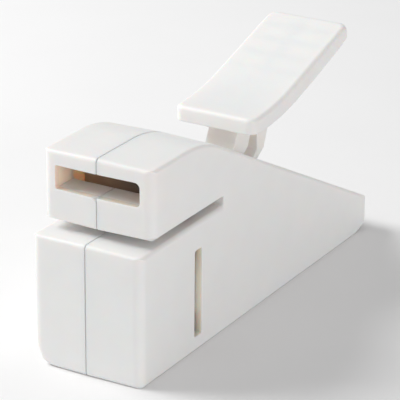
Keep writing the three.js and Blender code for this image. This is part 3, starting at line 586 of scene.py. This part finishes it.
def inner_walls(sign):
    """The sill and cheeks of the window, the guides of the carriage, the front of the cell bay and
    the boss of the axle. They stay inside the left half's rounded low edge."""
    reach = INSIDE_X + 0.2
    shelf_y = SHELF["front"], HEAD_FRONT + SHELF["depth"]
    below = WINDOW["bottom"] - SHELF["thickness"]
    sill = mirrored(sign, SEAM, reach, *shelf_y, below, WINDOW["bottom"])
    cheek = mirrored(sign, WINDOW["half_width"], reach, *shelf_y, below, CHEEK_TOP)
    guides = [mirrored(sign, GUIDES["inner"], reach, y, y + GUIDES["thickness"], 1, JAW_TOP - 1)
              for y in (GUIDES["front"], GUIDES["back"])]
    bulkhead_y = BULKHEAD["front"], BULKHEAD["front"] + BULKHEAD["thickness"]
    bulkhead = mirrored(sign, SEAM, reach, *bulkhead_y, 1, BULKHEAD["top"])
    boss_x = sorted((sign * AXLE_BOSS["inner"], sign * reach))
    boss = rod_x(AXLE["y"], AXLE["z"], AXLE_BOSS["radius"], *boss_x)
    walls = [cheek, *guides, bulkhead, boss]
    if sign < 0:
        inside = 0.8
        radius = LOW_LEFT_RADIUS["base"] - inside
        walls = [cut(wall, low_corner_block(inside - HALF_WIDTH, inside, radius)) for wall in walls]
    return [sill, *walls]


def shell_openings(sign):
    """Window, side slit, jaw and head openings, lever slot and door channel."""
    half = WINDOW["half_width"]
    window = rounded(-half, half, WINDOW["bottom"], WINDOW["top"], WINDOW["corners"])
    depths = (HEAD_FRONT - 2, HEAD_FRONT + WALL + 1.6)
    through = loft("window", [[(x, y, z) for x, z in window] for y in depths])
    jaw, pad = JAW_OPENING, PAD_OPENING
    jaw_y = BAR_Y - jaw["half_width"], BAR_Y + jaw["half_width"]
    pad_y = BAR_Y - pad["half_width"], BAR_Y + pad["half_width"]
    pad_z = HEAD_BOTTOM - 0.5, HEAD_BOTTOM + pad["height"]
    slot_box = [ARM_SLOT[key] for key in ("half_width", "front", "back", "bottom", "top")]
    edge = DOOR["right" if sign > 0 else "left"] + DOOR["gap"]
    door_y = DOOR["front"] - DOOR["gap"], REAR + 1
    door_top = DOOR["top"] + DOOR["gap"]
    return [
        through,
        side_slit(sign),
        mirrored(sign, -1, jaw["half_length"], *jaw_y, jaw["bottom"], HEAD_BOTTOM + 0.1),
        mirrored(sign, -1, pad["half_length"], *pad_y, *pad_z),
        mirrored(sign, -1, *slot_box),
        mirrored(sign, -1, edge, *door_y, -1, door_top),
        mirrored(sign, -1, edge + DOOR["tongue"], *door_y, DOOR["lip"], door_top),
    ]


def side_slit(sign, steps=4):
    """The tall slit in the side, a rectangle with small corner radii."""
    radii = (SLIT["corner"],) * 4
    points = rounded(SLIT["front"], SLIT["back"], SLIT["bottom"], SLIT["top"], radii, steps)
    return slab(points, *sorted((sign * (HALF_WIDTH - 6), sign * (HALF_WIDTH + 1))))


def sill_flare(size_in_front=1.8, size_behind=0.2, steps=8):
    """The left half's sill falls away towards the seam in a quarter circle, most at the front."""
    sections = [(HEAD_FRONT - 1, size_in_front), (HEAD_FRONT + 0.3, size_in_front),
                (HEAD_FRONT + 2, size_behind)]
    turn = [math.pi / 2 * k / steps for k in range(steps + 1)]
    rings = []
    for y, size in sections:
        arc = [(-SEAM - size * (1 - math.cos(a)), WINDOW["bottom"] - size * (1 - math.sin(a)))
               for a in turn]
        ring = [(0.1, WINDOW["bottom"] - size), *arc, (0.1, WINDOW["bottom"] + 0.2)]
        rings.append([(x, y, z) for x, z in ring])
    return loft("flare", rings)


def rims(sign):
    """Regions whose sharp edges are rounded: the mouths of the openings and of the screw wells."""
    x = HALF_WIDTH
    side = sorted((sign * (x - 0.3), sign * (x + 0.1)))
    reach = sorted((sign * (SEAM - 0.1), sign * (x - 1)))
    slot = sorted((sign * (SEAM - 0.1), sign * (ARM_SLOT["half_width"] + 0.2)))
    slot_z = ARM_SLOT["bottom"], ARM_SLOT["top"]
    regions = [
        (*reach, HEAD_FRONT - 1, HEAD_FRONT + 0.5, WINDOW["bottom"] - 2, WINDOW["top"] + 1),
        (*side, SLIT["front"] - 1, SLIT["back"] + 1, SLIT["bottom"] - 1, SLIT["top"] + 1),
        (*slot, ARM_SLOT["front"] - 1, ARM_SLOT["back"] + 1, *slot_z),
    ]
    if sign < 0:
        around = SCREW_WELL_RADIUS + 0.5
        regions += [(-x - 0.1, -x + 1.2, y - around, y + around, z - around, z + around)
                    for y, z in SCREWS]
    return regions


def front_corner_block(steps=12):
    """What the vertical edge at the right front leaves of the corner where it meets the floor."""
    x, y, radius = HALF_WIDTH, FRONT + DRAFT, FRONT_RADIUS
    arc = [(x - radius * (1 - math.cos(a)), y + radius * (1 - math.sin(a)))
           for a in np.linspace(0, math.pi / 2, steps)]
    ring = [(x + 1, y - 1), (x + 1, y + radius), *arc, (x - radius, y - 1)]
    return loft("corner", [[(px, py, z) for px, py in ring] for z in (-1, 2.5)])


def screw_bosses():
    """Where the screw heads rest in the left half."""
    inner = -SCREW_SEAT + SCREW_BOSS["height"]
    return [rod_x(y, z, SCREW_BOSS["radius"], -INSIDE_X - 0.2, inner) for y, z in SCREWS]


def screw_wells():
    """The counterbores over the screw heads in the left half."""
    return [rod_x(y, z, SCREW_WELL_RADIUS, -HALF_WIDTH - 1, -SCREW_SEAT) for y, z in SCREWS]


def shell(side):
    """One body shell. The screws go in from the left, so only that half has counterbores. On the
    right, the rounded vertical edge runs down to the floor."""
    sign = 1 if side == "right" else -1
    cavity = slab(inside_outline(WALL), *sorted((sign * (SEAM - 1), sign * INSIDE_X)))
    if side == "left":
        cavity = cut(cavity, low_corner_block(-INSIDE_X, WALL, LOW_LEFT_RADIUS["base"] - WALL))
    skin, = painted(SHELL_PLASTIC, half_skin(side))
    # The cavity, the inner walls and the mouths of the openings take warm tan copies of the white, which
    # are painted glow.
    skin = cut(skin, *painted(INNER_PLASTIC_PAINTED_GLOW, cavity))
    sill, *walls = inner_walls(sign)
    # The sill takes the lighter painted copy of the white, and the other inner walls the warm painted one.
    skin = join(skin, *painted(SILL_PLASTIC_PAINTED_LIGHT, sill), *painted(INNER_PLASTIC_PAINTED_GLOW, *walls))
    if side == "left":
        skin = join(skin, *painted(INNER_PLASTIC_PAINTED_GLOW, *screw_bosses()))
        skin = cut(skin, *painted(SHELL_PLASTIC, *screw_wells(), sill_flare()))
    else:
        skin = cut(skin, *painted(SHELL_PLASTIC, front_corner_block()))
    window, *others = shell_openings(sign)
    # The window's walls take the painted glow copy, the other openings the warm inside copy.
    skin = cut(skin, *painted(WINDOW_PLASTIC_PAINTED_GLOW, window), *painted(INNER_PLASTIC_PAINTED_GLOW, *others))
    for region in rims(sign):
        soften(skin, RIM_RADIUS, *region)
    smooth(skin)
    finished(skin, f"{side}_shell_skin", "case", None, "shell_plastic", f"{side}_shell")


def seam():
    """The strip that closes the seam, which belongs to the left half."""
    strip = seam_strip()
    smooth(strip)
    finished(strip, "seam_strip", "case", SHELL_PLASTIC, "shell_plastic", "left_shell")


# ---- the lever ------------------------------------------------------------------------------
def paddle_top(y):
    """Height of the paddle's upper surface: flat in front, then a long bend, then straight."""
    p = PADDLE
    bend_end = p["bend_start"] + p["bend_radius"] * math.sin(p["tilt"])
    if y < p["bend_start"]:
        return p["top"]
    in_bend = min(y, bend_end) - p["bend_start"]
    rise = p["bend_radius"] - math.sqrt(p["bend_radius"] ** 2 - in_bend ** 2)
    return p["top"] + rise + max(0, y - bend_end) * math.tan(p["tilt"])


def paddle_thickness(y):
    """The paddle is thickest in the middle of its length."""
    share = (y - PADDLE["front"]) / (PADDLE["rear"] - PADDLE["front"])
    return PADDLE["thickness"] + PADDLE["swell"] * math.sin(math.pi * min(1, max(0, share)))


def paddle_point(y, depth):
    """The side-view point at a depth under the upper surface. A negative depth counts from below."""
    if depth < 0:
        depth += paddle_thickness(y)
    slope = (paddle_top(y + 0.05) - paddle_top(y - 0.05)) / 0.1
    length = math.hypot(1, slope)
    return y + depth * slope / length, paddle_top(y) - depth / length


def paddle_ring(inset, depth, rear_inset, rear_depth, corner_steps=8, side_steps=36):
    """The paddle's plan outline moved inwards by inset, at a depth under the upper surface. The
    rear edge has an inset and depth of its own, which it reaches over the last 5 mm."""
    p = PADDLE
    half, front, rear = p["half_width"] - inset, p["front"] + inset, p["rear"] - rear_inset
    radius = max(p["corner"] - inset, 0.25)
    low, high = front + radius, rear - radius
    plan = []
    for centre_y, start in ((low, -90), (high, 0)):
        for k in range(corner_steps + 1):
            angle = math.radians(start + 90 * k / corner_steps)
            plan.append((half - radius + radius * math.cos(angle), centre_y + radius * math.sin(angle)))
        if start == -90:
            plan += [(half, low + (high - low) * k / side_steps) for k in range(1, side_steps)]
    plan += [(-x, y) for x, y in reversed(plan)]
    points = []
    for x, y in plan:
        share = min(1, max(0, (y - rear + 5) / 5))
        blend = share * share * (3 - 2 * share)
        points.append((x, *paddle_point(y, depth + (rear_depth - depth) * blend)))
    return points


def bridge_cap(bm, row):
    """Closes a mirror-symmetric ring with quads from side to side."""
    count = len(row)
    for i in range(count // 2 - 1):
        j = count - 1 - i
        bm.faces.new((row[i], row[i + 1], row[j - 1], row[j]))


def paddle_rib(half_width, front, rear, steps):
    """A stiffening rib under the paddle, from side to side or along the middle."""
    above_underside, below_top = 0.45, 1.2
    along = [front + (rear - front) * k / steps for k in range(steps + 1)]
    lower = [paddle_point(y, -above_underside) for y in along]
    upper = [paddle_point(y, below_top) for y in reversed(along)]
    return slab(lower + upper, -half_width, half_width)


def paddle_profile():
    """The plate's section from the middle of the top round the edge to the hollow underneath, as
    (inset, depth, rear inset, rear depth). Negative depths count from the underside."""
    upper, rear_upper = 1.25, 2.1
    lower, rear_lower = 0.5, 1.95
    underside = -1e-6
    quarter = np.linspace(0, math.pi / 2, 8)
    top_edge = [(upper * (1 - math.sin(a)), upper * (1 - math.cos(a)),
                 rear_upper * (1 - math.sin(a)), rear_upper * (1 - math.cos(a))) for a in quarter]
    low_edge = [(lower * (1 - math.cos(a)), -lower * (1 - math.sin(a)) + underside,
                 rear_lower * (1 - math.cos(a)), -rear_lower * (1 - math.sin(a)) + underside)
                for a in quarter]
    rim = [(1.6, underside, 2.2, underside), (1.9, -0.15, 2.4, -0.15), (2.05, -0.5, 2.5, -0.5)]
    hollow = [(2.2, 2.6, 2.6, 2.6), (2.7, 2.1, 3.0, 2.1), (3.5, 2.0, 3.6, 2.0)]
    return top_edge + low_edge + rim + hollow


def paddle():
    """A plate with soft edges and a rounded tip, hollow and ribbed underneath."""
    bm = bmesh.new()
    rows = skin_rows(bm, [paddle_ring(*section) for section in paddle_profile()])
    bridge_cap(bm, rows[0])
    bridge_cap(bm, rows[-1])
    plate = new_object("paddle", bm)
    ribs = [paddle_rib(RIBS["half_width"], y, y + RIBS["thickness"], 2) for y in RIBS["starts"]]
    middle = paddle_rib(MIDDLE_RIB["half_width"], MIDDLE_RIB["front"], MIDDLE_RIB["rear"], 12)
    plate = merge(plate, *ribs, middle)
    smooth(plate)
    finished(plate, "paddle_plate", "lever", LEVER_PLASTIC, "lever_plastic", "lever_paddle")


# ---- copies of CAD nodes with softened edges ------------------------------------------------
def refined(node, body, material, slot, edge_width):
    """A copy of a CAD node with flat faces merged and sharp edges rounded."""
    bm = bmesh.new()
    bm.from_mesh(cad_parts[node].data)
    bmesh.ops.remove_doubles(bm, verts=bm.verts, dist=0.002 * MM)
    bmesh.ops.dissolve_limit(bm, angle_limit=math.radians(0.6), verts=bm.verts, edges=bm.edges)
    round_edges(bm, edge_width, segments=2, least_angle=32)
    obj = new_object(node + "_piece", bm)
    smooth(obj, 50)
    finished(obj, node + "_piece", body, material, slot, node)


def left_and_right(name):
    """The names of a pair of nodes."""
    return [f"{name}_left", f"{name}_right"]


SHELL_SCREWS = [f"shell_screw_{number}" for number in range(1, len(SCREWS) + 1)]
REFINED = [
    (["lever_arm"], "lever", ARM_PLASTIC, "arm_plastic", 0.3),
    (left_and_right("paddle_screw"), "lever", STEEL, "steel", 0.12),
    (["lift_pin"], "lever", STEEL, "steel", 0.15),
    (left_and_right("axle_bush"), "lever", BRASS, "brass", 0.1),
    (["lever_axle"], "case", STEEL, "steel", 0.2),
    (["carriage"], "carriage", ARM_PLASTIC, "arm_plastic", 0.2),
    (["heater_block"], "carriage", RESIN, "phenolic", 0.15),
    (["heater_strip"], "carriage", NICKEL, "nickel", 0.06),
    (["ptfe_cover"], "carriage", PTFE, "ptfe_tape", 0.1),
    (left_and_right("contact_tab"), "carriage", BRASS, "brass", 0.05),
    (left_and_right("terminal_screw"), "carriage", STEEL, "steel", 0.1),
    (["silicone_pad"], "case", SILICONE, "silicone", 0.3),
    # The pad holder and the head shield carry the painted glow of the shield plastic.
    (["pad_holder"], "case", SHIELD_PLASTIC_PAINTED_GLOW, "shield_plastic", 0.2),
    (["head_shield"], "case", SHIELD_PLASTIC_PAINTED_GLOW, "shield_plastic", 0.15),
    (left_and_right("leaf_contact"), "case", BRASS, "brass", 0.06),
    (["rear_contact_bridge"], "case", NICKEL, "nickel", 0.06),
    (left_and_right("battery"), "case", CELL, "cell_jacket", 0.2),
    (SHELL_SCREWS, "case", STEEL, "steel", 0.15),
    (["battery_door"], "door", SHELL_PLASTIC, "shell_plastic", 0.15),
]


# ---- springs --------------------------------------------------------------------------------
def coil(name, point_at, turns, wire, steps_per_turn=28, sides=10):
    """Wire of a given radius along point_at(share), from share 0 to 1."""
    count = int(turns * steps_per_turn)
    path = [Vector(point_at(k / count)) for k in range(count + 1)]
    around = [2 * math.pi * i / sides for i in range(sides)]
    out = (path[1] - path[0]).normalized().orthogonal()
    rings = []
    for k, centre in enumerate(path):
        tangent = (path[min(k + 1, count)] - path[max(k - 1, 0)]).normalized()
        out = (out - tangent * out.dot(tangent)).normalized()
        across = tangent.cross(out)
        rings.append([centre + (out * math.cos(a) + across * math.sin(a)) * wire for a in around])
    obj = loft(name, rings)
    smooth(obj)
    return obj


def return_spring(side):
    """Compression spring over the carriage's foot, with closed ends. On the tool it flattens as the bar
    rises; this piece keeps the height of its CAD node.
    """
    node = f"return_spring_{side}"
    low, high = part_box(node)
    centre_x = (low.x + high.x) / 2 / MM
    centre_y = (low.y + high.y) / 2 / MM - SHIFT_Y
    wire, turns = 0.42, 8.0
    radius = (high.x - low.x) / 2 / MM - wire
    bottom, top = low.z / MM + wire, high.z / MM - wire

    closed_share, closed_rise = 0.1, wire * 1.6

    def point_at(share):
        first = min(share / closed_share, 1)
        open_part = min(1, max(0, (share - closed_share) / (1 - 2 * closed_share)))
        last = max(0, (share - 1 + closed_share) / closed_share)
        height = bottom + closed_rise * (first + last)
        height += (top - bottom - 2 * closed_rise) * open_part
        angle = 2 * math.pi * turns * share
        return centre_x + radius * math.cos(angle), centre_y + radius * math.sin(angle), height

    spring = coil(node, point_at, turns, wire)
    finished(spring, node + "_piece", "case", STEEL, "steel", node)
    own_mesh(spring)


def cell_spring(node, wide_end):
    """Tapering spring that presses on the flat end of a cell."""
    low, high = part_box(node)
    centre_x = (low.x + high.x) / 2 / MM
    centre_z = (low.z + high.z) / 2 / MM
    front, back = low.y / MM - SHIFT_Y, high.y / MM - SHIFT_Y
    wire, turns, taper = 0.35, 3.5, 1.8
    widest = (high.x - low.x) / 2 / MM - wire

    def point_at(share):
        radius = widest - taper * share
        angle = 2 * math.pi * turns * share
        along = share if wide_end == "front" else 1 - share
        y = front + wire + (back - front - 2 * wire) * along
        return centre_x + radius * math.cos(angle), y, centre_z + radius * math.sin(angle)

    spring = coil(node, point_at, turns, wire)
    finished(spring, node + "_piece", "case", NICKEL, "nickel", node)


# ---- light, floor and camera ----------------------------------------------------------------
CAMERA = {"azimuth": 30.3156, "elevation": 22.1779, "roll": 0.3867, "lens": 224.9, "distance": 0.66292,
          "aim": (16.77, 30.30, 43.39)}


def aim_camera():
    """Camera at the photograph's angle, looking at a fixed point of the tool."""
    azimuth, elevation, roll = (math.radians(CAMERA[k]) for k in ("azimuth", "elevation", "roll"))
    back = Vector((math.sin(azimuth) * math.cos(elevation), -math.cos(azimuth) * math.cos(elevation),
                   math.sin(elevation)))
    right = Vector((math.cos(azimuth), math.sin(azimuth), 0))
    up = back.cross(right)
    tilted_right = right * math.cos(roll) + up * math.sin(roll)
    tilted_up = up * math.cos(roll) - right * math.sin(roll)
    x, y, z = CAMERA["aim"]
    aim = Vector((x, y + SHIFT_Y, z)) * MM
    data = bpy.data.cameras.new("camera")
    data.lens = CAMERA["lens"]
    data.sensor_width = 36
    data.clip_start, data.clip_end = 0.01, 50
    camera = bpy.data.objects.new("camera", data)
    turn = Matrix((tilted_right, tilted_up, back)).transposed().to_4x4()
    camera.matrix_world = Matrix.Translation(aim + back * CAMERA["distance"]) @ turn
    bpy.context.scene.collection.objects.link(camera)
    bpy.context.scene.camera = camera


def area_light(name, position, target, size, power, color=(1, 1, 1)):
    """A round lamp that shines from a position towards a target, in metres and watts."""
    data = bpy.data.lights.new(name, "AREA")
    data.shape = "DISK"
    data.size = size
    data.energy = power
    data.color = color
    light = bpy.data.objects.new(name, data)
    light.location = position
    direction = Vector(target) - Vector(position)
    light.rotation_mode = "QUATERNION"
    light.rotation_quaternion = direction.to_track_quat("-Z", "Y")
    bpy.context.scene.collection.objects.link(light)


def floor():
    """Pale paper floor that reaches past the horizon of the picture."""
    bm = bmesh.new()
    half = 6
    corner_points = [(-half, -half, 0), (half, -half, 0), (half, half, 0), (-half, half, 0)]
    bm.faces.new([bm.verts.new(p) for p in corner_points])
    obj = new_object("studio_floor", bm)
    m = Nodes("studio_paper")
    m.link(m.ramp(m.noise(60, detail=2), [(0.3, 0.90), (0.7, 0.915)]), m.shader.inputs["Base Color"])
    m.set(Roughness=0.9, Specular_IOR_Level=0.1)
    obj.data.materials.append(m.material)


def studio_light():
    """Bright even surroundings, a large soft lamp on the left and a weaker one on the right."""
    world = bpy.data.worlds.new("studio")
    bpy.context.scene.world = world
    world.use_nodes = True
    background = world.node_tree.nodes["Background"]
    background.inputs["Color"].default_value = (1.0, 1.0, 1.0, 1)
    background.inputs["Strength"].default_value = 0.48
    area_light("key", (-0.75, -0.20, 0.72), (0, 0, 0.02), 0.60, 8.2)
    area_light("fill", (1.25, -0.45, 0.10), (0, 0, 0.01), 0.60, 5.2, (1.0, 0.975, 0.985))
    bpy.context.scene.view_settings.view_transform = "Standard"


# ---- the scene ------------------------------------------------------------------------------
aim_camera()
studio_light()
floor()
shell("right")
shell("left")
seam()
paddle()
for nodes, body, material, slot, edge_width in REFINED:
    for node in nodes:
        refined(node, body, material, slot, edge_width)
for side in ("left", "right"):
    return_spring(side)
cell_spring("cell_spring_front", "front")
cell_spring("cell_spring_rear", "rear")
